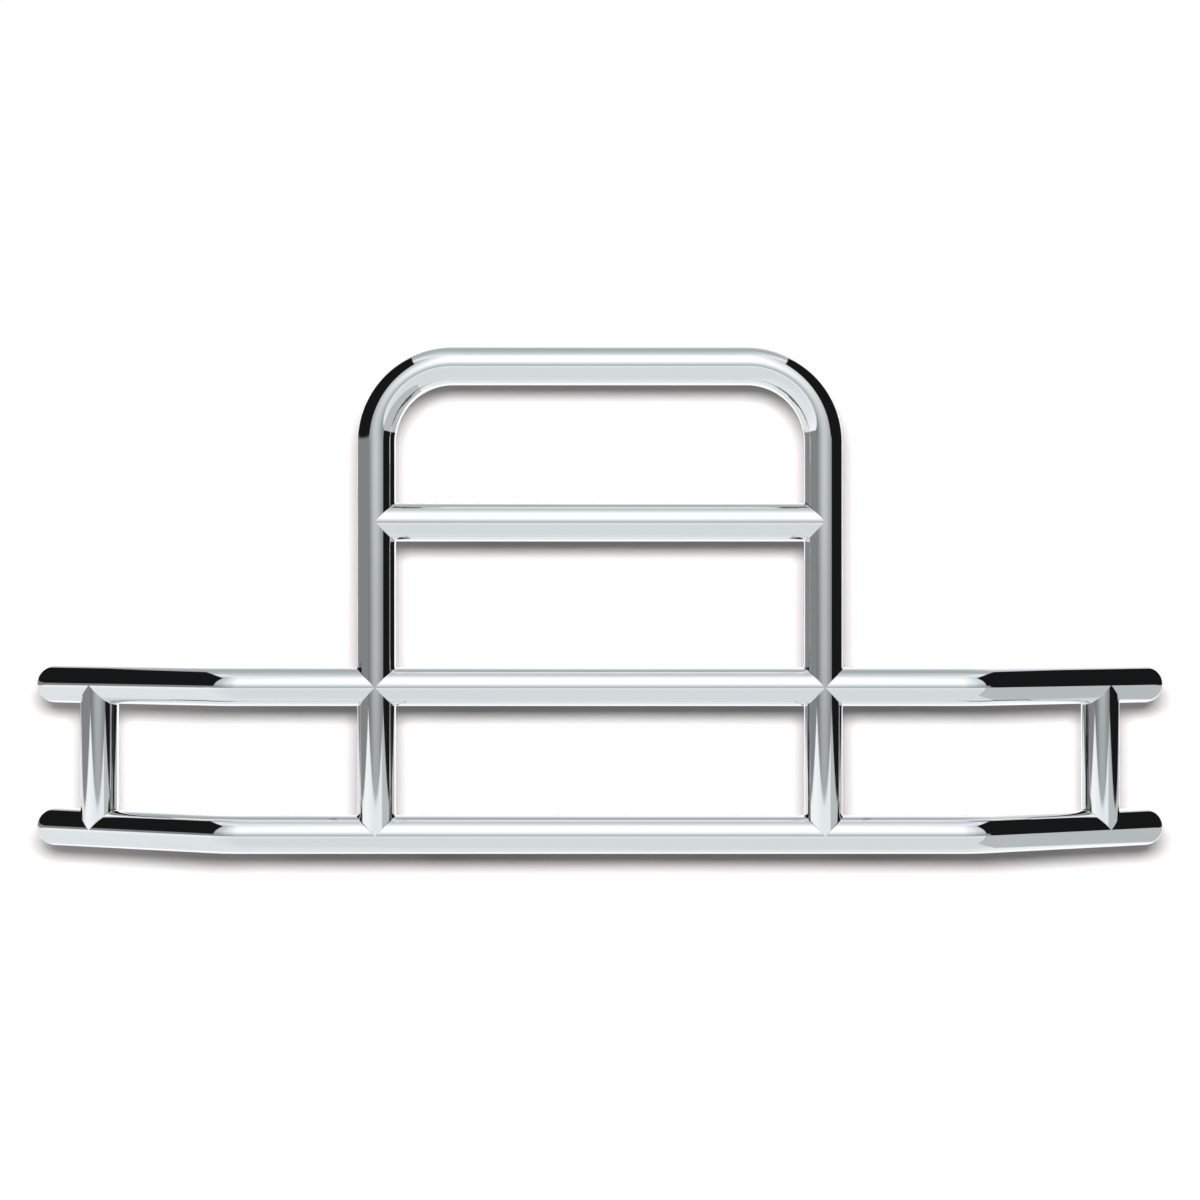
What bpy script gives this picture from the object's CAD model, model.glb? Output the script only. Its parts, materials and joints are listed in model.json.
"""A guard of polished stainless tube on hinged mounts.

The hoop, crossbar and middle bars stand in one upright plane, X across and Z up.
The front is -Y and left is -X.  The ends of the lower and mid bars sweep back
toward +Y as wings, each with an end post between its two bars.
"""
import bmesh
import bpy
import json
import math
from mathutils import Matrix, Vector


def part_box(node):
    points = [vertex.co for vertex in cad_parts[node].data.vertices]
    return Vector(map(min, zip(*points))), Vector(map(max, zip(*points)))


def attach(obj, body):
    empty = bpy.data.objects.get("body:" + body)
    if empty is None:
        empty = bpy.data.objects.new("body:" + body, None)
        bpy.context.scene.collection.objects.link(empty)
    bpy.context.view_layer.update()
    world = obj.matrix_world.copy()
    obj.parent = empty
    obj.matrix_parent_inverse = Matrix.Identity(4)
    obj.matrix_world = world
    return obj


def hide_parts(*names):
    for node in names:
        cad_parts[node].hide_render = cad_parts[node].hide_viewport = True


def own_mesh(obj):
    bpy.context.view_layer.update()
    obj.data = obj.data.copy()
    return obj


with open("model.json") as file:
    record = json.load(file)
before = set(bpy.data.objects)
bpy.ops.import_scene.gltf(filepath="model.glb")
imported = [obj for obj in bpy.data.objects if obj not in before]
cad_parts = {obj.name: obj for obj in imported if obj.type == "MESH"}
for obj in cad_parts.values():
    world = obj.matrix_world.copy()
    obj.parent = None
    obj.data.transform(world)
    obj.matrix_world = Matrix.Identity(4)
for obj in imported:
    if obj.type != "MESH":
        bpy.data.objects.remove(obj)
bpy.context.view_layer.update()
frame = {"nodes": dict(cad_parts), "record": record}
NODES = frame["nodes"]
scene = bpy.context.scene
MM = 0.001
X, Y, Z = Vector((1, 0, 0)), Vector((0, 1, 0)), Vector((0, 0, 1))


# ---------------------------------------------------------------- dimensions
# The layout is read from the frame: tube plane, bar heights, upright spacing.
def mid(node):
    low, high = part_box(node)
    return (low + high) / 2.0


def span(node):
    low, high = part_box(node)
    return high - low


TUBE_R = span("crossbar_tube").z / 2.0
TUBE_R = round(TUBE_R * 1e5) / 1e5          # to the nearest 0.01 mm
BORE_R = TUBE_R - 3.0 * MM
BEND_R = 152.4 * MM                         # bends, to the tube's centreline
PLANE_Y = mid("crossbar_tube").y
Z_CROSS = mid("crossbar_tube").z
Z_MID = mid("mid_bar_center").z
Z_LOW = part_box("lower_bar")[0].z + TUBE_R
Z_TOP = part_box("hoop_tube")[1].z - TUBE_R
UPRIGHT_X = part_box("hoop_tube")[1].x - TUBE_R
SWEEP = math.radians(22.0)
POST = mid("end_post_right")
POST_ALONG = (POST.y - PLANE_Y) / math.sin(SWEEP)       # along the wing from its vertex
VERTEX_X = POST.x - POST_ALONG * math.cos(SWEEP)
WING_LEN = (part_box("mid_bar_right_end_cap")[1].x - TUBE_R - VERTEX_X) / math.cos(SWEEP)
SIDES = ((-1, "left"), (1, "right"))


def in_plane(x, z):
    return Vector((x, PLANE_Y, z))


def wing_point(side, along, z):
    return Vector((side * (VERTEX_X + along * math.cos(SWEEP)),
                   PLANE_Y + along * math.sin(SWEEP), z))


def wing_dir(side):
    return Vector((side * math.cos(SWEEP), math.sin(SWEEP), 0.0))


# -------------------------------------------------------------- node helpers
def add_node(tree, kind, inputs=(), **settings):
    """Add a node.  inputs maps input keys to a Field, a socket or a plain value."""
    node = tree.nodes.new(kind)
    for key, value in settings.items():
        setattr(node, key, value)
    for key, value in dict(inputs).items():
        feed(tree, node.inputs[key], value)
    return node


def feed(tree, target, value):
    if isinstance(value, Field):
        value = value.socket
    if isinstance(value, bpy.types.NodeSocket):
        tree.links.new(value, target)
    else:
        target.default_value = value


class Field:
    """A shader number with arithmetic, so that shader maths reads as maths."""

    def __init__(self, tree, socket):
        self.tree = tree
        self.socket = socket

    def math(self, operation, *others):
        node = add_node(self.tree, "ShaderNodeMath", enumerate((self,) + others),
                        operation=operation)
        return Field(self.tree, node.outputs[0])

    def __add__(self, other): return self.math("ADD", other)
    def __sub__(self, other): return self.math("SUBTRACT", other)
    def __mul__(self, other): return self.math("MULTIPLY", other)
    def __truediv__(self, other): return self.math("DIVIDE", other)
    __radd__ = __add__
    __rmul__ = __mul__
    def __neg__(self): return self * -1.0
    def abs(self): return self.math("ABSOLUTE")
    def power(self, other): return self.math("POWER", other)
    def minimum(self, other): return self.math("MINIMUM", other)
    def maximum(self, other): return self.math("MAXIMUM", other)

    def map_range(self, from_min, from_max, to_min, to_max):
        node = add_node(self.tree, "ShaderNodeMapRange",
                        {"From Min": from_min, "From Max": from_max,
                         "To Min": to_min, "To Max": to_max, "Value": self},
                        interpolation_type="SMOOTHSTEP")
        return Field(self.tree, node.outputs["Result"])

    def step(self, start, end):
        """0 at start and beyond, 1 at end and beyond, smooth between.
        start may be the larger of the two."""
        if start > end:
            return self.map_range(end, start, 1.0, 0.0)
        return self.map_range(start, end, 0.0, 1.0)

    def curve(self, points):
        """Look-up through (x, y) points, eased between each pair."""
        total = None
        for (x0, y0), (x1, y1) in zip(points, points[1:]):
            rise = self.map_range(x0, x1, 0.0, y1 - y0)
            total = rise if total is None else total + rise
        return total + points[0][1]

    def mix(self, low, high):
        """low where this is 0, high where it is 1."""
        node = add_node(self.tree, "ShaderNodeMix", {0: self, 2: low, 3: high},
                        data_type="FLOAT")
        return Field(self.tree, node.outputs[0])

    def mix_color(self, low, high):
        """The same for colours, each an RGB tuple or a socket."""
        low, high = (c + (1.0,) if isinstance(c, tuple) else c for c in (low, high))
        node = add_node(self.tree, "ShaderNodeMix", {"A": low, "B": high, "Factor": self},
                        data_type="RGBA")
        return node.outputs["Result"]


def components(tree, vector):
    node = add_node(tree, "ShaderNodeSeparateXYZ", {0: vector})
    return [Field(tree, node.outputs[i]) for i in range(3)]


def scale_color(tree, color, factor):
    return add_node(tree, "ShaderNodeVectorMath", {0: color, "Scale": factor},
                    operation="SCALE").outputs[0]


def mix_shader(tree, factor, low, high):
    return add_node(tree, "ShaderNodeMixShader", {"Fac": factor, 1: low, 2: high}).outputs[0]


SURROUND = {"Color": (1, 1, 1, 1), "Strength": 1.02}    # the white the camera sees around it


# --------------------------------------------------------------------- world
def lin(level):
    """Display level 0..255 to linear light."""
    c = level / 255.0
    return c / 12.92 if c <= 0.04045 else ((c + 0.055) / 1.055) ** 2.4


SOFT_BOX = 1.06             # light of the soft box
DARK_WALL = lin(23)

# (elevation in degrees, light)
FRONT_WALL = [(-8, lin(155)), (-4, lin(168)), (-1, lin(182)), (4, lin(198)), (8, lin(214)),
              (14, lin(236)), (21, lin(255)), (28, SOFT_BOX), (46, SOFT_BOX), (52, lin(255)),
              (59, lin(243)), (74, lin(206)), (90, lin(181))]
BACK_WALL = [(0, lin(255)), (35, lin(252)), (47, lin(215)), (60, lin(174)), (72, lin(169)),
             (90, lin(181))]
FLOOR_FRONT = [(-90, lin(216)), (-20, lin(216)), (-13, lin(222)), (-6, lin(231))]
FLOOR_BACK = [(-90, lin(216)), (-73, lin(224)), (-60, lin(230)), (-47, lin(244)),
              (-34, lin(255))]
# (azimuth in degrees, factor on the light)
FRONT_FALLOFF = [(-46, 0.36), (-33, 0.53), (-21, 0.76), (-10, 0.97), (0, 1.0),
                 (10, 0.98), (21, 0.82), (34, 0.64), (46, 0.48)]
FLOOR_FALLOFF = [(-90, 1.11), (-48, 1.11), (-38, 1.065), (-12, 1.0), (0, 1.0)]


def build_world():
    """A long studio seen only in reflections: a soft box on the front wall, dark
    side walls, a pale floor and a grey ceiling.  The camera sees plain white."""
    world = bpy.data.worlds.new("studio")
    scene.world = world
    world.use_nodes = True
    tree = world.node_tree
    tree.nodes.clear()
    x, y, z = components(tree, add_node(tree, "ShaderNodeTexCoord").outputs["Generated"])
    degrees = 180.0 / math.pi
    azimuth = x.math("ARCTAN2", -y) * degrees       # 0 to the front, growing toward +X
    elevation = z.maximum(-1.0).minimum(1.0).math("ARCSINE") * degrees
    abs_x, abs_y = x.abs(), y.abs()
    level_length = (x * x + y * y).power(0.5)
    is_right = x.step(start=-0.01, end=0.01)

    # the front wall dims sideways, but not where it meets the ceiling
    front = elevation.curve(FRONT_WALL)
    falloff = azimuth.curve(FRONT_FALLOFF)
    front = front * elevation.step(start=50.0, end=66.0).mix(low=falloff, high=1.0)
    # the back wall's bands sit lower toward the left, by up to 55 degrees
    back = (elevation + (-x).maximum(0.0) * 55.0).curve(BACK_WALL)
    # the left wall has a grey skirting, the right one is dark all the way down
    left = z.step(start=0.085, end=0.13).mix(low=lin(130), high=DARK_WALL)

    # the side walls reach between slopes in plan at the front and rear, and up to the ceiling
    front_slope = z.step(start=0.09, end=0.13).mix(low=1.0, high=1.22)
    past_front = (-y - front_slope * abs_x).step(start=0.012, end=-0.012)
    rear_slope = is_right.mix(low=0.58, high=0.84)
    before_back = (abs_x - rear_slope * y).step(start=-0.02, end=0.02)
    below_ceiling = (abs_x - 0.53 * z).step(start=-0.008, end=0.008)
    side_mask = past_front * before_back * below_ceiling
    ends = y.step(start=-0.02, end=0.02).mix(front, back)
    walls = side_mask.mix(ends, is_right.mix(left, DARK_WALL))

    # floor
    floor_front = elevation.curve(FLOOR_FRONT) * azimuth.curve(FLOOR_FALLOFF)
    floor_back = elevation.curve(FLOOR_BACK)
    floor = y.step(start=-0.05, end=0.05).mix(floor_front, floor_back)
    # darker along the right wall, of one even grey at the left
    dim_right = ((-y - 1.28 * x).step(start=0.012, end=-0.012)
                 * (x - rear_slope * y).step(start=-0.02, end=0.02)
                 * (x + 0.58 * z).step(start=-0.01, end=0.02))
    floor = dim_right.mix(low=floor, high=lin(185))
    floor_left = ((-x - 0.55 * y).step(start=-0.03, end=0.03)
                  * y.step(start=-0.15, end=0.0))
    floor = floor_left.mix(low=floor, high=lin(225))
    # the foot of the walls, as a height on the unit sphere
    wall_foot = 0.0538 * level_length - 0.1492 * abs_x.maximum(abs_y)
    on_floor = (z - wall_foot).step(start=0.003, end=-0.003)
    level = on_floor.mix(walls, floor)

    # the darker parts are slightly cool; metal's own colour takes up the 0.93
    tint = level.step(start=0.80, end=1.0).mix_color(low=(0.945, 1.0, 1.025),
                                                     high=(1.0, 1.0, 1.0))
    color = scale_color(tree, tint, level / 0.93)
    reflected = add_node(tree, "ShaderNodeBackground", {"Color": color}).outputs[0]
    seen = add_node(tree, "ShaderNodeBackground", SURROUND).outputs[0]
    is_camera = add_node(tree, "ShaderNodeLightPath").outputs["Is Camera Ray"]
    add_node(tree, "ShaderNodeOutputWorld",
             {"Surface": mix_shader(tree, is_camera, reflected, seen)})


# ----------------------------------------------------------------- materials
MATERIALS = {}      # by name, filled in by Surface


class Surface:
    """A new material: its principled shader and the textures that drive it."""

    def __init__(self, name):
        self.material = MATERIALS[name] = bpy.data.materials.new(name)
        self.material.use_nodes = True
        self.tree = self.material.node_tree
        self.shader = self.tree.nodes["Principled BSDF"]
        self.coords = add_node(self.tree, "ShaderNodeTexCoord").outputs["Object"]

    def noise(self, scale, detail=3.0, roughness=0.5, stretch=None):
        """Noise over object space; stretch multiplies the frequency along each axis."""
        vector = self.coords
        if stretch is not None:
            vector = add_node(self.tree, "ShaderNodeMapping",
                              {"Scale": stretch, "Vector": vector}).outputs[0]
        node = add_node(self.tree, "ShaderNodeTexNoise",
                        {"Scale": scale, "Detail": detail, "Roughness": roughness,
                         "Vector": vector})
        return Field(self.tree, node.outputs["Fac"])

    def geometry(self, output):
        return add_node(self.tree, "ShaderNodeNewGeometry").outputs[output]

    def edges(self, radius):
        """1 on edges within about radius, where the bevelled normal turns away."""
        bevel = add_node(self.tree, "ShaderNodeBevel", {"Radius": radius}, samples=4)
        dot = add_node(self.tree, "ShaderNodeVectorMath",
                       {0: bevel.outputs[0], 1: self.geometry("Normal")},
                       operation="DOT_PRODUCT")
        return Field(self.tree, dot.outputs["Value"]).step(start=0.995, end=0.93)

    def shade(self, color, roughness, metallic=1.0, specular=0.5):
        for key, value in (("Base Color", color), ("Metallic", metallic),
                           ("Roughness", roughness), ("Specular IOR Level", specular)):
            feed(self.tree, self.shader.inputs[key], value)

    def bump(self, height, strength, distance):
        node = add_node(self.tree, "ShaderNodeBump",
                        {"Strength": strength, "Distance": distance, "Height": height})
        feed(self.tree, self.shader.inputs["Normal"], node.outputs[0])

    def show(self, shader):
        """Send another shader to the material's output."""
        feed(self.tree, self.tree.nodes["Material Output"].inputs["Surface"], shader)


def shade_of(color, factor):
    return tuple(c * factor for c in color)


BUFFED = (0.94, 0.943, 0.945)
BRIGHT_EDGE = (0.80, 0.80, 0.81)


def polished_stainless():
    """Mirror-buffed stainless: faint buffing haze, no visible grain at distance."""
    metal = Surface("polished_stainless")
    haze = metal.noise(scale=26.0, detail=4.0, roughness=0.6)
    fine = metal.noise(scale=900.0, detail=2.0, stretch=(1.0, 1.0, 1.0))
    smudge = metal.noise(scale=7.0, detail=5.0, roughness=0.62).step(start=0.60, end=0.78)
    metal.shade(color=haze.mix_color(low=(0.925, 0.93, 0.935), high=BUFFED),
                roughness=(0.022 + haze.step(start=0.35, end=0.75) * 0.012
                           + fine * 0.006 + smudge * 0.012))
    metal.bump(height=fine, strength=0.02, distance=0.00002)


def polished_weld():
    """Polished weld fillet: a little softer than the tube."""
    metal = Surface("polished_weld")
    fine = metal.noise(scale=420.0, roughness=0.55)
    metal.shade(color=fine.mix_color(low=(0.90, 0.905, 0.91), high=BUFFED),
                roughness=0.07 + fine * 0.06)
    metal.bump(height=fine, strength=0.10, distance=0.0002)


def raw_weld():
    """Bead as laid, brushed off: straw and grey heat tint."""
    metal = Surface("raw_weld")
    fine = metal.noise(scale=300.0, detail=4.0, roughness=0.6)
    heat = metal.noise(scale=60.0)
    metal.shade(color=heat.step(start=0.42, end=0.66).mix_color(low=(0.56, 0.55, 0.54),
                                                                high=(0.50, 0.43, 0.36)),
                roughness=0.26 + fine * 0.16)
    metal.bump(height=fine, strength=0.25, distance=0.0004)


def brushed_stainless_plate():
    """Brushed plate, grain along Y; cut edges show fine lines across the thickness."""
    metal = Surface("brushed_stainless_plate")
    base = (0.62, 0.625, 0.635)
    grain = metal.noise(scale=1.0, detail=4.0, roughness=0.7, stretch=(900.0, 30.0, 900.0))
    patch = metal.noise(scale=9.0, detail=4.0, roughness=0.6)
    edge = metal.edges(radius=0.0012)
    color = grain.step(start=0.3, end=0.7).mix_color(low=shade_of(base, 0.86),
                                                     high=shade_of(base, 1.08))
    color = (patch.step(start=0.45, end=0.75) * 0.35).mix_color(color, shade_of(base, 0.80))
    color = (edge * 0.6).mix_color(color, BRIGHT_EDGE)
    metal.shade(color=color, roughness=0.27 + grain * 0.12 + patch * 0.05 - edge * 0.08)
    # faces toward X are the plate's flats; on the others the cut lines run along X
    normal_x = components(metal.tree, metal.geometry("Normal"))[0]
    on_flat = normal_x.abs().step(start=0.5, end=0.8)
    cut = metal.noise(scale=1.0, detail=2.0, stretch=(40.0, 1500.0, 1500.0))
    metal.bump(height=on_flat.mix(cut, grain), strength=0.22, distance=0.00012)


def black_powder_coat():
    """Satin black powder coat with a fine orange peel; worn a touch on edges."""
    coat = Surface("black_powder_coat")
    peel = coat.noise(scale=620.0, detail=2.0)
    broad = coat.noise(scale=11.0, detail=5.0, roughness=0.6)
    dust = coat.noise(scale=90.0, detail=6.0, roughness=0.7)
    edge = coat.edges(radius=0.0010)
    chips = coat.noise(scale=160.0, detail=4.0, roughness=0.75)
    worn = edge * chips.step(start=0.52, end=0.60) * 0.8
    color = broad.step(start=0.3, end=0.8).mix_color(low=(0.017, 0.0175, 0.0185),
                                                     high=(0.030, 0.0305, 0.032))
    dusty = dust.step(start=0.60, end=0.80) * 0.25
    color = dusty.mix_color(low=color, high=(0.10, 0.098, 0.095))
    color = worn.mix_color(low=color, high=(0.26, 0.26, 0.265))
    coat.shade(color=color, metallic=worn * 0.7, roughness=0.40 + peel * 0.10 + broad * 0.08)
    coat.bump(height=peel + dust * 0.25, strength=0.30, distance=0.00022)


def zinc_hardware():
    """Bright zinc plate with its bluish, faintly iridescent passivate."""
    metal = Surface("zinc_hardware")
    mottle = metal.noise(scale=130.0, detail=4.0, roughness=0.6)
    fine = metal.noise(scale=900.0, detail=2.0)
    hue = metal.noise(scale=34.0, detail=2.0)
    edge = metal.edges(radius=0.0006)
    color = hue.step(start=0.35, end=0.65).mix_color(low=(0.70, 0.73, 0.79),
                                                     high=(0.79, 0.77, 0.70))
    dull = mottle.step(start=0.35, end=0.7) * 0.35
    color = dull.mix_color(low=color, high=(0.60, 0.61, 0.63))
    color = (edge * 0.5).mix_color(low=color, high=(0.88, 0.88, 0.89))
    metal.shade(color=color, roughness=0.22 + mottle * 0.16 + fine * 0.05)
    metal.bump(height=fine + mottle, strength=0.12, distance=0.00012)


def hardened_steel():
    """Ground round stock: fine rings about the X axis."""
    metal = Surface("hardened_steel")
    base = (0.56, 0.565, 0.58)
    rings = metal.noise(scale=1.0, detail=2.0, roughness=0.6, stretch=(1600.0, 60.0, 60.0))
    mottle = metal.noise(scale=60.0, detail=4.0, roughness=0.6)
    edge = metal.edges(radius=0.0006)
    color = rings.mix_color(low=shade_of(base, 0.85), high=shade_of(base, 1.1))
    color = (edge * 0.5).mix_color(low=color, high=BRIGHT_EDGE)
    metal.shade(color=color, roughness=0.16 + rings * 0.10 + mottle * 0.10)
    metal.bump(height=rings, strength=0.15, distance=0.00008)


def black_handle():
    """Black oxide handle, rubbed bright where a hand pulls it."""
    metal = Surface("black_handle")
    mottle = metal.noise(scale=180.0, detail=5.0, roughness=0.65)
    rub = metal.noise(scale=45.0, detail=4.0, roughness=0.6)
    edge = metal.edges(radius=0.0012)
    color = mottle.step(start=0.3, end=0.7).mix_color(low=(0.030, 0.030, 0.033),
                                                      high=(0.055, 0.055, 0.060))
    worn = (edge * 0.7 + rub.step(start=0.62, end=0.80) * 0.35).minimum(1.0)
    color = worn.mix_color(low=color, high=(0.30, 0.30, 0.31))
    metal.shade(color=color, metallic=0.85, roughness=0.34 + mottle * 0.16)
    metal.bump(height=mottle, strength=0.20, distance=0.00015)


def bronze():
    """Bronze with darker oxidised patches."""
    metal = Surface("bronze")
    mottle = metal.noise(scale=300.0, detail=4.0, roughness=0.6)
    oxide = metal.noise(scale=60.0, detail=4.0, roughness=0.6)
    color = mottle.step(start=0.3, end=0.7).mix_color(low=(0.50, 0.31, 0.13),
                                                      high=(0.70, 0.47, 0.22))
    patches = oxide.step(start=0.55, end=0.75) * 0.5
    color = patches.mix_color(low=color, high=(0.22, 0.13, 0.06))
    metal.shade(color=color, roughness=0.28 + mottle * 0.18)
    metal.bump(height=mottle, strength=0.25, distance=0.00015)


def rubber():
    """Matt black rubber with a dusty bloom."""
    skin = Surface("rubber")
    fine = skin.noise(scale=500.0, roughness=0.6)
    dust = skin.noise(scale=40.0, detail=5.0, roughness=0.65)
    color = dust.step(start=0.45, end=0.75).mix_color(low=(0.020, 0.020, 0.020),
                                                      high=(0.052, 0.050, 0.048))
    skin.shade(color=color, metallic=0.0, roughness=0.72 + fine * 0.12, specular=0.3)
    skin.bump(height=fine + dust * 0.5, strength=0.35, distance=0.0003)


build_world()
for build in (polished_stainless, brushed_stainless_plate, black_powder_coat, zinc_hardware,
              hardened_steel, black_handle, bronze, rubber, polished_weld, raw_weld):
    build()
SLOT_OF = {part["node"]: part["material_slot"] for part in frame["record"]["subparts"]}
for node_name, node_object in NODES.items():
    node_object.data.materials.clear()
    node_object.data.materials.append(MATERIALS[SLOT_OF[node_name]])


# -------------------------------------------------------------- mesh helpers
def make_piece(name, verts, faces, normals, material, body):
    """A smooth object; normals, if given, holds one vector per face corner."""
    mesh = bpy.data.meshes.new(name)
    mesh.from_pydata([tuple(v) for v in verts], [], [tuple(f) for f in faces])
    mesh.validate(clean_customdata=False)
    mesh.update()
    mesh.polygons.foreach_set("use_smooth", [True] * len(mesh.polygons))
    # validate() may drop a face, and then the normals no longer line up
    if normals is not None and len(normals) == len(mesh.loops):
        mesh.normals_split_custom_set([tuple(n) for n in normals])
    mesh.materials.append(MATERIALS[material])
    ob = bpy.data.objects.new(name, mesh)
    scene.collection.objects.link(ob)
    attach(ob, body)
    return ob


def make_solid(name, verts, faces, material, body):
    """A closed piece whose faces are turned outward."""
    ob = make_piece(name, verts, faces, None, material, body)
    bm = bmesh.new()
    bm.from_mesh(ob.data)
    bmesh.ops.recalc_face_normals(bm, faces=bm.faces[:])
    bm.to_mesh(ob.data)
    bm.free()
    ob.data.update()
    return ob


def sweep_faces(count, segs, closed=False):
    """Faces over count rings of segs vertices; the ends are capped unless closed."""
    faces = []
    for i in range(count if closed else count - 1):
        j = (i + 1) % count
        for k in range(segs):
            m = (k + 1) % segs
            faces.append((i * segs + k, i * segs + m, j * segs + m, j * segs + k))
    if not closed:
        faces.append(tuple(range(segs))[::-1])
        faces.append(tuple((count - 1) * segs + k for k in range(segs)))
    return faces


def face_cross(verts, face):
    p = [Vector(verts[i]) for i in face]
    return (p[2] - p[0]).cross(p[-1] - p[1])


def replace_polished(node, verts, faces, normals):
    """Put a polished piece in a node's place, each face wound to suit its normals."""
    wound, wound_normals = [], []
    start = 0
    for face in faces:
        own = normals[start:start + len(face)]
        start += len(face)
        if face_cross(verts, face).dot(sum(own, Vector((0, 0, 0)))) < 0:
            face, own = face[::-1], own[::-1]
        wound.append(face)
        wound_normals.extend(own)
    ob = make_piece(node + "_polished", verts, wound, wound_normals, "polished_stainless",
                    "guard")
    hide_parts(node)


# --------------------------------------------------------------------- tubes
SEG = 160           # segments round a tube


def centreline(points):
    """(centre, tangent) stations along a polyline with a bend at each inner point."""
    last = points[0]
    stations = [(last, (points[1] - last).normalized())]
    for corner, following in zip(points[1:], points[2:]):
        ahead = (corner - last).normalized()
        after = (following - corner).normalized()
        angle = ahead.angle(after)
        setback = BEND_R * math.tan(angle / 2.0)
        inward = (after - ahead * after.dot(ahead)).normalized()
        centre = corner - ahead * setback + inward * BEND_R
        steps = max(4, int(math.degrees(angle) / 1.5))
        for k in range(steps + 1):
            a = angle * k / steps
            stations.append((
                centre - inward * (BEND_R * math.cos(a)) + ahead * (BEND_R * math.sin(a)),
                ahead * math.cos(a) + inward * math.sin(a)))
        last = corner + after * setback
    stations.append((points[-1], (points[-1] - last).normalized()))
    return stations


def cope_shift(point, along, cope, far):
    """Distance along a tube from point to the surface of the tube it is coped to."""
    origin, axis = cope
    offset = point - origin
    offset = offset - axis * offset.dot(axis)
    across = along - axis * along.dot(axis)
    qa, qb = across.dot(across), 2.0 * offset.dot(across)
    qc = offset.dot(offset) - TUBE_R * TUBE_R
    root = math.sqrt(max(qb * qb - 4 * qa * qc, 0.0))
    return (-qb - root) / (2 * qa) if far else (-qb + root) / (2 * qa)


def add_tube(node, points, normal, cope_start=None, cope_end=None):
    """Bent tube with real wall thickness.  normal is that of the path's plane; a cope
    is the (point, axis) of the tube an end meets, and an end without one is square."""
    stations = centreline(points)
    count = len(stations)
    normal = normal.normalized()
    radials = []
    for _, along in stations:
        side = along.cross(normal).normalized()
        angles = (2 * math.pi * k / SEG for k in range(SEG))
        radials.append([normal * math.cos(a) + side * math.sin(a) for a in angles])

    verts, faces, normals = [], [], []
    for radius in (TUBE_R, BORE_R):
        for i, (centre, along) in enumerate(stations):
            for radial in radials[i]:
                point = centre + radial * radius
                if i == 0 and cope_start is not None:
                    point = point + along * cope_shift(point, along, cope_start, False)
                if i == count - 1 and cope_end is not None:
                    point = point + along * cope_shift(point, along, cope_end, True)
                verts.append(point)

    def index(wall, i, k):
        return (wall * count + i) * SEG + k

    for wall, facing in ((0, 1.0), (1, -1.0)):
        for i in range(count - 1):
            for k in range(SEG):
                m = (k + 1) % SEG
                quad = [(i, k), (i, m), (i + 1, m), (i + 1, k)]
                faces.append([index(wall, a, b) for a, b in quad])
                normals.extend([radials[a][b] * facing for a, b in quad])
    # the rims between the outer and inner walls
    for i in (0, count - 1):
        for k in range(SEG):
            m = (k + 1) % SEG
            quad = [index(0, i, m), index(0, i, k), index(1, i, k), index(1, i, m)]
            if i:
                quad = quad[::-1]
            faces.append(quad)
            normals.extend([face_cross(verts, quad).normalized()] * 4)
    replace_polished(node, verts, faces, normals)


def add_tubes():
    legs = {side: (in_plane(side * UPRIGHT_X, 0), Z) for side in (-1, 1)}
    low_axis = (in_plane(0, 0) + Z * Z_LOW, X)
    add_tube("hoop_tube",
             [in_plane(-UPRIGHT_X, Z_LOW), in_plane(-UPRIGHT_X, Z_TOP),
              in_plane(UPRIGHT_X, Z_TOP), in_plane(UPRIGHT_X, Z_LOW)],
             Y, low_axis, low_axis)
    add_tube("lower_bar",
             [wing_point(-1, WING_LEN, Z_LOW), in_plane(-VERTEX_X, Z_LOW),
              in_plane(VERTEX_X, Z_LOW), wing_point(1, WING_LEN, Z_LOW)], Z)
    for node, z in (("crossbar_tube", Z_CROSS), ("mid_bar_center", Z_MID)):
        add_tube(node, [in_plane(-UPRIGHT_X, z), in_plane(UPRIGHT_X, z)], Z,
                 legs[-1], legs[1])
    for side, tag in SIDES:
        add_tube(f"mid_bar_{tag}_wing",
                 [in_plane(side * UPRIGHT_X, Z_MID), in_plane(side * VERTEX_X, Z_MID),
                  wing_point(side, WING_LEN, Z_MID)], Z, legs[side])
        foot, head = (wing_point(side, POST_ALONG, z) for z in (Z_LOW, Z_MID))
        wing = wing_dir(side)
        add_tube(f"end_post_{tag}", [foot, head], wing.cross(Z), (foot, wing), (head, wing))


add_tubes()


# ---------------------------------------------------------- domed wing ends
def add_dome(node, centre, axis, rows=44):
    """Pressed dome: outer and inner hemisphere joined by a flat rim."""
    side = axis.cross(Z).normalized()
    verts, faces, normals, vert_normals = [], [], [], []

    def add_vert(direction, radius, facing):
        verts.append(centre + direction * radius)
        vert_normals.append(direction * facing)

    for radius, facing in ((TUBE_R, 1.0), (BORE_R, -1.0)):
        for j in range(rows):
            rise = (math.pi / 2) * j / rows
            for k in range(SEG):
                a = 2 * math.pi * k / SEG
                round_axis = Z * math.cos(a) + side * math.sin(a)
                add_vert(round_axis * math.cos(rise) + axis * math.sin(rise), radius, facing)
        add_vert(axis, radius, facing)

    inner = rows * SEG + 1              # first vertex of the inner wall
    for wall in (0, inner):
        pole = wall + rows * SEG
        for j in range(rows):
            ring = wall + j * SEG
            for k in range(SEG):
                m = (k + 1) % SEG
                face = [ring + k, ring + m]
                face += [ring + SEG + m, ring + SEG + k] if j < rows - 1 else [pole]
                faces.append(face)
                normals.extend([vert_normals[i] for i in face])
    for k in range(SEG):
        m = (k + 1) % SEG
        faces.append([k, m, inner + m, inner + k])
        normals.extend([-axis] * 4)
    replace_polished(node, verts, faces, normals)


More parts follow.
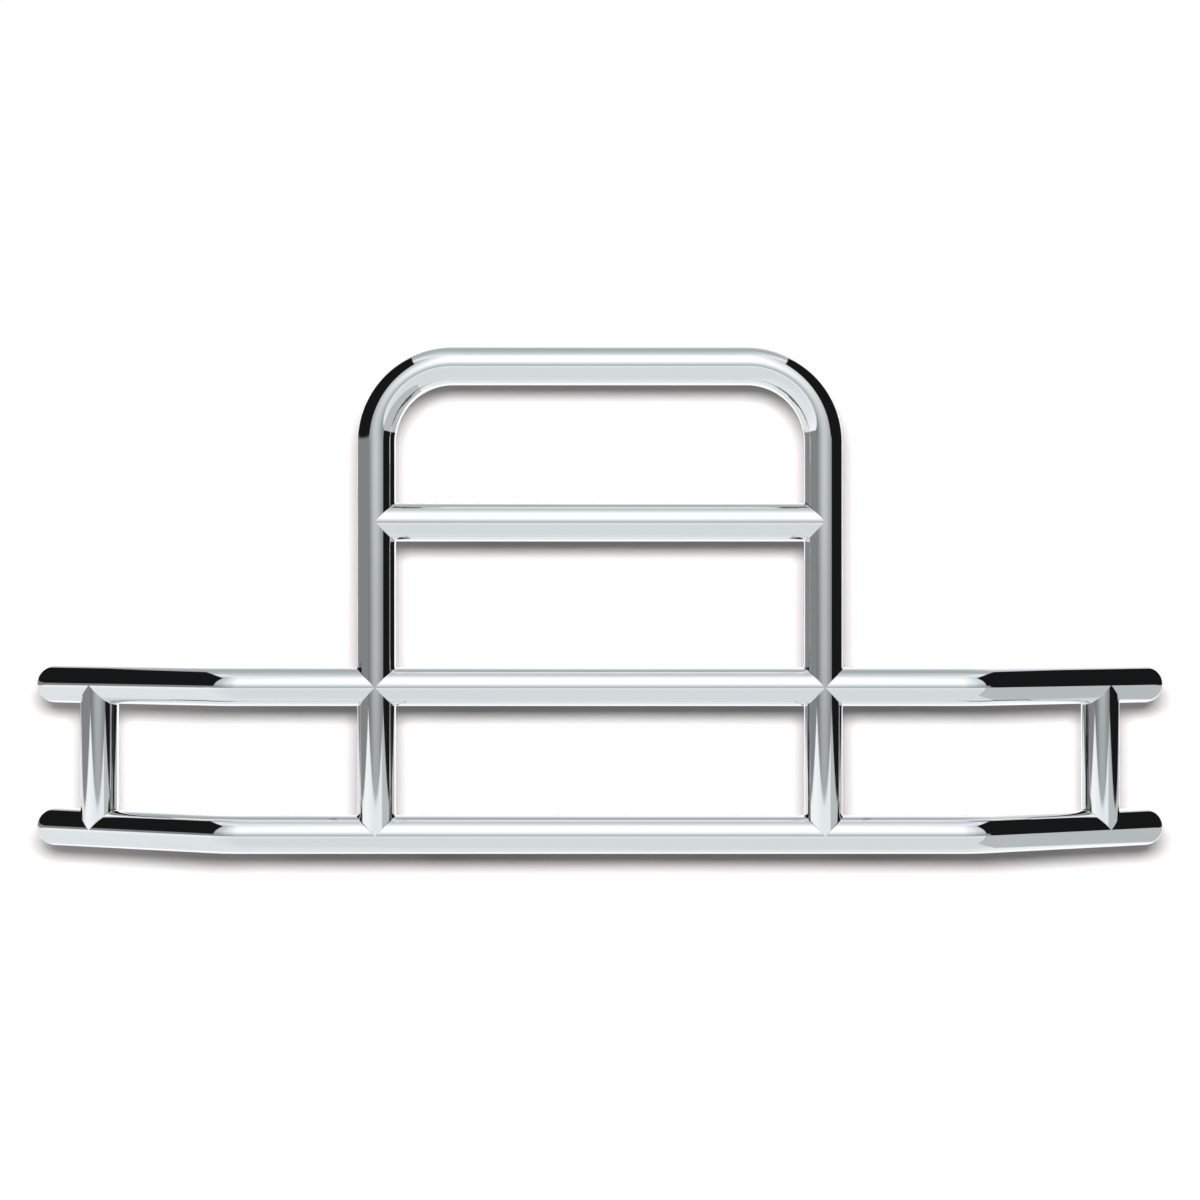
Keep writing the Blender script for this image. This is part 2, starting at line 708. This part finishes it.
for side, tag in SIDES:
    for z, bar in ((Z_MID, "mid_bar"), (Z_LOW, "lower_bar")):
        add_dome(f"{bar}_{tag}_end_cap", wing_point(side, WING_LEN, z), wing_dir(side))


# ------------------------------------------------------- polished tube welds
FILLET_R = 2.6 * MM


def orient(verts, faces, normals):
    """Wind the faces outward and keep each corner's normal, or the face's own where
    the corner's points inward."""
    mesh = bpy.data.meshes.new("tmp")
    mesh.from_pydata([tuple(v) for v in verts], [], [tuple(f) for f in faces])
    bm = bmesh.new()
    bm.from_mesh(mesh)
    bm.faces.ensure_lookup_table()
    bmesh.ops.recalc_face_normals(bm, faces=bm.faces[:])
    out_faces, out_normals = [], []
    start = 0
    for face, bm_face in zip(faces, bm.faces):
        wanted = dict(zip(face, normals[start:start + len(face)]))
        start += len(face)
        indices = [v.index for v in bm_face.verts]
        out_faces.append(indices)
        for i in indices:
            keep = wanted[i].dot(bm_face.normal) > 0
            out_normals.append(wanted[i] if keep else Vector(bm_face.normal))
    bm.free()
    bpy.data.meshes.remove(mesh)
    return out_faces, out_normals


def add_fillets(name, centre, through, branch, steps=96, arc=8):
    """The two blended fillets where a branch tube leaves a through tube of the
    same diameter.  Each is a slim crescent that dies out at its two tips."""
    along = through.normalized()
    out = branch.normalized()           # away from the joint
    across = along.cross(out).normalized()
    reach = TUBE_R + FILLET_R
    verts, faces, normals = [], [], []

    def place(x, y, z):
        return centre + out * x + across * y + along * z

    def add_vert(point):
        verts.append(point)
        return len(verts) - 1

    def add_face(*face_corners):
        """Each corner is (vertex, normal)."""
        faces.append([vertex for vertex, _ in face_corners])
        normals.extend([normal for _, normal in face_corners])

    for lobe in (1, -1):
        first_tip = add_vert(place(0, -TUBE_R, 0))
        rows = []
        for i in range(1, steps):
            t = -math.pi / 2 + math.pi * i / steps
            c, s = math.cos(t), math.sin(t)
            middle = place(reach * c, reach * s, lobe * reach * c)
            on_through = place(TUBE_R * c, TUBE_R * s, lobe * reach * c)
            on_branch = place(reach * c, TUBE_R * s, lobe * TUBE_R * c)
            corner = place(TUBE_R * c, TUBE_R * s, lobe * TUBE_R * c)
            start = (on_through - middle).normalized()
            end = (on_branch - middle).normalized()
            angle = start.angle(end)
            row = []
            for k in range(arc + 1):
                f = k / arc
                d = (start * math.sin((1 - f) * angle)
                     + end * math.sin(f * angle)) / math.sin(angle)
                d.normalize()
                row.append((add_vert(middle + d * FILLET_R), -d))
            rows.append((row, add_vert(corner)))
        last_tip = add_vert(place(0, TUBE_R, 0))

        for (row0, corner0), (row1, corner1) in zip(rows, rows[1:]):
            for k in range(arc):
                add_face(row0[k], row0[k + 1], row1[k + 1], row1[k])
            # the two hidden faces, inside the tubes
            (a0, n0), (a1, n1) = row0[0], row1[0]
            add_face((a0, -n0), (a1, -n1), (corner1, -n1), (corner0, -n0))
            (a0, n0), (a1, n1) = row0[arc], row1[arc]
            add_face((a0, -n0), (corner0, -n0), (corner1, -n1), (a1, -n1))
        for (row, corner), tip in ((rows[0], first_tip), (rows[-1], last_tip)):
            for k in range(arc):
                add_face(row[k], row[k + 1], (tip, row[k][1]))
            for vertex, normal in (row[0], row[arc]):
                add_face((vertex, -normal), (corner, -normal), (tip, -normal))
    faces, normals = orient(verts, faces, normals)
    make_piece(name, verts, faces, normals, "polished_weld", "guard")


for side, tag in SIDES:
    upright = in_plane(side * UPRIGHT_X, 0)
    wing = wing_dir(side)
    # joint, centre, through tube, branch
    for joint, centre, through, branch in (
            ("crossbar", upright + Z * Z_CROSS, Z, X * -side),
            ("mid_bar_inner", upright + Z * Z_MID, Z, X * -side),
            ("mid_bar_outer", upright + Z * Z_MID, Z, X * side),
            ("upright_foot", upright + Z * Z_LOW, X, Z),
            ("post_foot", wing_point(side, POST_ALONG, Z_LOW), wing, Z),
            ("post_head", wing_point(side, POST_ALONG, Z_MID), wing, -Z)):
        add_fillets(f"weld_{joint}_{tag}", centre, through, branch)


# -------------------------------------------------------------- beads as laid
def add_bead(name, path, lift, radius, material, body, slot, closed=False,
             ripple=3.2 * MM, segs=14, step=0.6 * MM):
    """A rippled weld bead along a polyline.  lift pushes its centre off the path,
    out of the corner it fills; ripple is the length of one ripple."""
    stations = []           # (point, distance along)
    total = 0.0
    loop = list(path) + ([path[0]] if closed else [])
    for p, q in zip(loop, loop[1:]):
        d = (q - p).length
        n = max(1, int(round(d / step)))
        for k in range(n):
            stations.append((p.lerp(q, k / n), total + d * k / n))
        total += d
    if not closed:
        stations.append((loop[-1], total))
    count = len(stations)
    turns = max(1, round(total / ripple))
    verts = []
    for i, (point, along) in enumerate(stations):
        before = stations[(i - 2) % count if closed else max(i - 2, 0)][0]
        after = stations[(i + 2) % count if closed else min(i + 2, count - 1)][0]
        tangent = (after - before).normalized()
        up = (lift - tangent * lift.dot(tangent)).normalized()
        across = tangent.cross(up).normalized()
        phase = (along / total * turns) % 1.0
        # two slow waves keep the ripples from being all alike
        wobble = math.sin(along * 410.0) * 0.03 + math.sin(along * 173.0 + 1.3) * 0.03
        r = radius * (0.93 + 0.11 * (1.0 - phase) ** 1.6 + wobble)
        if not closed:
            # rounded ends
            edge = min(along, total - along) / (1.4 * radius)
            if edge < 1.0:
                r *= max(0.12, math.sqrt(max(0.0, 1.0 - (1.0 - edge) ** 2)))
        lean = 0.35 * ripple * phase
        for k in range(segs):
            t = 2 * math.pi * k / segs
            bulge = up * (math.cos(t) * r * 0.86) + across * (math.sin(t) * r)
            verts.append(point + lift + bulge - tangent * (lean * max(0.0, math.cos(t))))
    make_solid(name, verts, sweep_faces(count, segs, closed), material, body)


# The hinge plates, barrels, ribs and spacers are laid out in mm: u outboard of an
# upright's axis, y behind the tube plane, z above the lower bar's axis.
def at_upright(side, u, y, z):
    return Vector((side * (UPRIGHT_X + u * MM), PLANE_Y + y * MM, Z_LOW + z * MM))


TUBE_R_MM = round(TUBE_R / MM, 2)
MID_HEIGHT = (Z_MID - Z_LOW) / MM
PLATE_FACES = ((-7.0, -1, "inner"), (27.0, 1, "outer"))     # u, facing, name
PLATE_BOTTOM = (21.0, -25.0, 62.0, -44.0)   # the bottom edge: y, z to y, z
PLATE_TOP = (58.0, 322.0)                   # y, z on the sloping top edge
PLATE_TOP_RUN, PLATE_TOP_RISE = 38.0, 26.0
SEAM_SHORT = 2.5                            # the seam stops this far below the top edge
BARREL_Y, BARREL_Z, BARREL_WELD_R = 95.0, 290.0, 16.6
RIB_START, RIB_END = Vector((138.0, 324.0)), Vector((322.0, 152.0))     # y, z
RIB_SETBACKS = (52.0, 30.0)                 # from the start and the end
RIB_OFFSET, RIB_WIDTH = 16.0, 8.0           # square to the line
RIB_U = 16.0
SPACER_U, SPACER_CORNER_R = 4.0, 18.0
SPACER_CORNERS = ((172.0, -38.0), (318.0, -38.0), (318.0, 138.0), (172.0, 138.0))
STOP_PIN_R, STOP_PIN_ANGLE = 44.0, math.radians(25.0)       # about (BARREL_Y, 0)


def round_poly(points, radius, steps=8):
    """Points (a, b) of a polygon with its corners rounded."""
    rounded = []
    n = len(points)
    for i, point in enumerate(points):
        corner = Vector(point)
        back = (Vector(points[i - 1]) - corner).normalized()
        ahead = (Vector(points[(i + 1) % n]) - corner).normalized()
        half = back.angle(ahead) / 2.0
        setback = radius / math.tan(half)
        centre = corner + (back + ahead).normalized() * (radius / math.sin(half))
        start, end = corner + back * setback, corner + ahead * setback
        v0, v1 = start - centre, end - centre
        angle = v0.angle(v1)
        turn = 1.0 if v0.x * v1.y - v0.y * v1.x > 0 else -1.0
        for k in range(steps + 1):
            w = turn * angle * k / steps
            rounded.append((centre.x + v0.x * math.cos(w) - v0.y * math.sin(w),
                            centre.y + v0.x * math.sin(w) + v0.y * math.cos(w)))
    return rounded


def plate_seam(u):
    """Where a hinge plate's face at u meets the tubes: (y, z) up the back of the joint."""
    back_y = math.sqrt(TUBE_R_MM ** 2 - u ** 2)         # back of the upright at u
    joint_z = math.sqrt(TUBE_R_MM ** 2 - back_y ** 2)   # where that meets a bar's surface
    # halve in on the point where the plate's bottom edge leaves the lower bar
    y0, z0, y1, z1 = PLATE_BOTTOM
    low, high = 0.0, 1.0
    for _ in range(40):
        m = (low + high) / 2
        if math.hypot(y0 + (y1 - y0) * m, z0 + (z1 - z0) * m) < TUBE_R_MM:
            low = m
        else:
            high = m
    clearance = 0.10        # radians between that point and the start of the bead
    start = math.atan2(z0 + (z1 - z0) * low, y0 + (y1 - y0) * low)
    end = math.atan2(joint_z, back_y)
    points = []
    for k in range(25):     # round the lower bar
        a = start + clearance + (end - start - clearance) * k / 24.0
        points.append((TUBE_R_MM * math.cos(a), TUBE_R_MM * math.sin(a)))
    for k in range(1, 20):  # up the upright
        points.append((back_y, joint_z + (MID_HEIGHT - 2 * joint_z) * k / 20.0))
    for k in range(25):     # round the mid bar
        a = -end + 2 * end * k / 24.0
        points.append((TUBE_R_MM * math.cos(a), MID_HEIGHT + TUBE_R_MM * math.sin(a)))
    top_y, top_z = PLATE_TOP
    points.append((back_y, top_z + (top_y - back_y) / PLATE_TOP_RUN * PLATE_TOP_RISE
                   - SEAM_SHORT))
    return points


def weld_hinge_plate(side, tag):
    for u, facing, where in PLATE_FACES:
        add_bead(f"weld_{tag}_hinge_plate_{where}",
                 [at_upright(side, u, y, z) for y, z in plate_seam(u)],
                 lift=X * (side * facing * 0.7 * MM) + Y * (0.9 * MM), radius=3.6 * MM,
                 material="raw_weld", body="guard", slot="brushed_stainless_plate")


def weld_barrel(side, tag):
    """Bead round the barrel on the plate's outer face."""
    ring = []
    for k in range(48):
        a = 2 * math.pi * k / 48
        ring.append(at_upright(side, PLATE_FACES[1][0], BARREL_Y + BARREL_WELD_R * math.cos(a),
                               BARREL_Z + BARREL_WELD_R * math.sin(a)))
    add_bead(f"weld_{tag}_barrel", ring, lift=X * (side * 0.4 * MM), radius=2.6 * MM,
             material="raw_weld", body="guard", slot="brushed_stainless_plate",
             closed=True, ripple=2.6 * MM)


COATED = {"material": "black_powder_coat", "body": "mount_arms",
          "slot": "black_powder_coat", "closed": True}


def weld_rib(side, tag):
    """Bead round the rib's foot on the mount arm."""
    run = (RIB_END - RIB_START).normalized()
    normal = Vector((run.y, -run.x))
    length = (RIB_END - RIB_START).length
    a = RIB_START + run * RIB_SETBACKS[0] + normal * RIB_OFFSET
    b = RIB_START + run * (length - RIB_SETBACKS[1]) + normal * RIB_OFFSET
    foot = (a, b, b + normal * RIB_WIDTH, a + normal * RIB_WIDTH)
    add_bead(f"weld_{tag}_rib", [at_upright(side, RIB_U, c.x, c.y) for c in foot],
             lift=X * (side * 0.5 * MM), radius=3.0 * MM, **COATED)


def weld_spacer(side, tag):
    """Bead round the spacer on the inboard face of the mount arm."""
    foot = round_poly(SPACER_CORNERS, SPACER_CORNER_R)
    add_bead(f"weld_{tag}_spacer", [at_upright(side, SPACER_U, y, z) for y, z in foot],
             lift=X * (-side * 0.5 * MM), radius=2.6 * MM, **COATED)


for side, tag in SIDES:
    weld_hinge_plate(side, tag)
    weld_barrel(side, tag)
    weld_rib(side, tag)
    weld_spacer(side, tag)


# ------------------------------------------- plug welds over the stop pin ends
# (radius, height above the plate) in mm, from the axis and back to it
PLUG_PROFILE = [(0.0, -0.6), (8.2, -0.6), (8.6, 0.0), (8.0, 0.7), (6.6, 1.15), (5.2, 1.0),
                (4.2, 1.3), (2.4, 1.2), (1.2, 1.45), (0.0, 1.4)]


def add_plug_weld(name, centre, axis, segs=64):
    """Solid of revolution about axis (along X), its outline waved eleven times round."""
    side = axis.cross(Z)
    verts, faces, rings = [], [], []
    for radius, height in PLUG_PROFILE:
        middle = centre + axis * (height * MM)
        if radius == 0.0:
            rings.append([len(verts)])
            verts.append(middle)
            continue
        rings.append(range(len(verts), len(verts) + segs))
        for k in range(segs):
            a = 2 * math.pi * k / segs
            r = radius * MM * (1.0 + 0.035 * math.sin(a * 11.0))
            verts.append(middle + (Z * math.cos(a) + side * math.sin(a)) * r)
    for ring0, ring1 in zip(rings, rings[1:]):
        for k in range(segs):
            m = (k + 1) % segs
            if len(ring0) == 1:
                faces.append((ring0[0], ring1[m], ring1[k]))
            elif len(ring1) == 1:
                faces.append((ring0[k], ring0[m], ring1[0]))
            else:
                faces.append((ring0[k], ring0[m], ring1[m], ring1[k]))
    make_solid(name, verts, faces, "raw_weld", "guard")


for side, tag in SIDES:
    pin_y = BARREL_Y + STOP_PIN_R * math.cos(STOP_PIN_ANGLE)
    pin_z = STOP_PIN_R * math.sin(STOP_PIN_ANGLE)
    for u, facing, where in PLATE_FACES:
        add_plug_weld(f"weld_{tag}_stop_pin_{where}", at_upright(side, u, pin_y, pin_z),
                      X * (side * facing))


# ------------------------------------------------------------------- springs
def clamp01(value):
    return min(max(value, 0.0), 1.0)


def add_spring(side, tag):
    """Return spring of a lock pin, which shortens as the pin is pulled."""
    wire_r = 0.95 * MM
    turns, stations_per_turn, segs = 7.0, 40, 12
    flat = 0.75             # turns lying flat at each end
    low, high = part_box(f"{tag}_lock_spring")
    y, z = (low.y + high.y) / 2.0, (low.z + high.z) / 2.0
    coil_r = (high.z - low.z) / 2.0 - wire_r
    inner, outer = (high.x, low.x) if side < 0 else (low.x, high.x)
    x0, x1 = inner + side * wire_r, outer - side * wire_r
    flat_share = (2 * wire_r / abs(x1 - x0)) * flat     # of the length, per end
    n = int(turns * stations_per_turn)
    verts = []
    for i in range(n + 1):
        f = i / n
        a = 2 * math.pi * turns * f
        turn = f * turns
        share = (clamp01((turn - flat) / (turns - 2 * flat)) * (1 - 2 * flat_share)
                 + flat_share * clamp01(turn / flat)
                 + flat_share * clamp01((turn - (turns - flat)) / flat))
        x = x0 + (x1 - x0) * share
        radial = Vector((0.0, math.cos(a), math.sin(a)))
        for k in range(segs):
            t = 2 * math.pi * k / segs
            verts.append(Vector((x, y, z)) + radial * (coil_r + wire_r * math.cos(t))
                         + X * (wire_r * math.sin(t)))
    ob = make_solid(f"{tag}_lock_spring_coil", verts, sweep_faces(n + 1, segs),
                    "hardened_steel", "guard")
    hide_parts(f"{tag}_lock_spring")
    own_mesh(ob)


for side, tag in SIDES:
    add_spring(side, tag)


# --------------------------------------------------------------------- stage
FLOOR_Z = -0.86
FLOOR_HALF = 30.0
WALL_Y = 0.30               # behind the middle of the guard
WALL_TOP = 14.0
WALL_HALF = 14.0
WALL_BEND = 0.10            # half the width of its bend behind a wing's vertex


def add_stage_object(name, verts, faces, surface):
    mesh = bpy.data.meshes.new(name)
    mesh.from_pydata(verts, [], faces)
    ob = bpy.data.objects.new(name, mesh)
    scene.collection.objects.link(ob)
    mesh.materials.append(surface.material)
    ob.visible_glossy = False
    return ob


def floor_surface():
    """Pale matt floor that runs out into the white surround."""
    floor = Surface("studio_floor")
    mottle = floor.noise(scale=3.0, detail=4.0)
    floor.shade(color=mottle.mix_color(low=(0.90, 0.90, 0.90), high=(0.93, 0.93, 0.93)),
                metallic=0.0, roughness=0.8, specular=0.1)
    distance = add_node(floor.tree, "ShaderNodeCameraData").outputs["View Distance"]
    far = Field(floor.tree, distance).step(start=4.5, end=9.0)
    glow = add_node(floor.tree, "ShaderNodeEmission", SURROUND).outputs[0]
    floor.show(mix_shader(floor.tree, far, floor.shader.outputs[0], glow))
    return floor


def build_floor():
    s, z = FLOOR_HALF, FLOOR_Z
    add_stage_object("studio_floor", [(-s, -s, z), (s, -s, z), (s, s, z), (-s, s, z)],
                              [(0, 1, 2, 3)], floor_surface())


def wall_surface():
    """Matt grey near the guard, plain white farther out, clear from behind."""
    wall = Surface("studio_wall")
    tree = wall.tree
    tree.nodes.remove(wall.shader)
    x, _, z = components(tree, wall.coords)
    z = z - 0.5             # height from the middle of the grey patch
    # the swept ends face away from the light and are painted paler to make up for it
    paler = (x.abs().step(start=0.64, end=0.88) * 0.24
             + x.abs().step(start=0.82, end=1.30) * 0.30 + 1.0)
    color = wall.noise(scale=2.0).mix_color(low=(0.137, 0.130, 0.130),
                                            high=(0.142, 0.135, 0.135))
    paint = add_node(tree, "ShaderNodeBsdfDiffuse",
                     {"Color": scale_color(tree, color, paler)}).outputs[0]
    # the grey patch is an ellipse, wider than high
    far = ((x * x) * 0.45 + z * z).power(0.5).step(start=0.98, end=1.35)
    # seen at a slant it is plain white
    geometry = add_node(tree, "ShaderNodeNewGeometry").outputs
    slant = (-components(tree, geometry["Incoming"])[1]).step(start=0.92, end=0.84)
    glow = add_node(tree, "ShaderNodeEmission", {"Strength": SURROUND["Strength"]}).outputs[0]
    front = mix_shader(tree, far.maximum(slant), paint, glow)
    clear = add_node(tree, "ShaderNodeBsdfTransparent").outputs[0]
    wall.show(mix_shader(tree, geometry["Backfacing"], front, clear))
    return wall


def add_area(name, location, target, size, power):
    light = bpy.data.lights.new(name, "AREA")
    light.shape = "DISK"
    light.size = size
    light.energy = power
    ob = bpy.data.objects.new(name, light)
    scene.collection.objects.link(ob)
    ob.location = location
    aim = Vector(target) - Vector(location)
    ob.rotation_euler = aim.to_track_quat("-Z", "Y").to_euler()
    ob.visible_glossy = False
    ob.visible_camera = False
    return ob


def build_backdrop():
    """A wall close behind the guard that takes its soft shadow, with its own light.
    It plays no part in reflections."""
    # the wall keeps the same distance behind the wings as behind the middle
    plan = []
    for k in range(-150, 151):
        x = k * 0.01
        in_bend = min(max(abs(x) - (VERTEX_X - WALL_BEND), 0.0), 2 * WALL_BEND)
        past_bend = max(abs(x) - (VERTEX_X + WALL_BEND), 0.0)
        back = in_bend * in_bend / (4 * WALL_BEND) + past_bend
        plan.append((x, WALL_Y + math.tan(SWEEP) * back))
    plan = [(-WALL_HALF, plan[0][1])] + plan + [(WALL_HALF, plan[-1][1])]
    n = len(plan)
    wall = add_stage_object("studio_wall",
                            [(x, y, z) for z in (FLOOR_Z, WALL_TOP) for x, y in plan],
                            [(i, i + 1, n + i + 1, n + i) for i in range(n - 1)],
                            wall_surface())
    wall.visible_diffuse = False
    wall.visible_shadow = False
    key = add_area("wall_key", location=(0.0, -4.25, 0.775), target=(0.0, 0.3, 0.5),
                   size=0.64, power=1560.0)
    key.data.shape = "ELLIPSE"
    key.data.size_y = 0.36
    only = bpy.data.collections.new("wall_only")
    only.objects.link(wall)
    key.light_linking.receiver_collection = only


def add_lights():
    centre = (0, 0, 0.45)
    add_area("overhead_soft", location=(0.0, -0.6, 4.2), target=centre, size=3.4, power=190.0)
    add_area("front_soft", location=(-2.4, -3.6, 2.6), target=centre, size=2.2, power=80.0)
    add_area("rear_soft", location=(2.2, 3.8, 2.4), target=centre, size=2.4, power=90.0)


def add_camera():
    """Straight on from the front, level."""
    distance, height = 4.180, 0.4667        # from the tube plane, above the lower bar
    camera = bpy.data.cameras.new("camera")
    camera.sensor_width = 36.0
    camera.lens = 63.0
    camera.clip_end = 200.0
    ob = bpy.data.objects.new("camera", camera)
    scene.collection.objects.link(ob)
    ob.location = (0.0, PLANE_Y - distance, Z_LOW + height)
    ob.rotation_euler = (math.radians(90.0), 0.0, 0.0)
    scene.camera = ob


build_floor()
build_backdrop()
add_lights()
add_camera()

scene.view_settings.view_transform = "Standard"
scene.view_settings.look = "None"
scene.view_settings.exposure = 0.0
scene.view_settings.gamma = 1.0
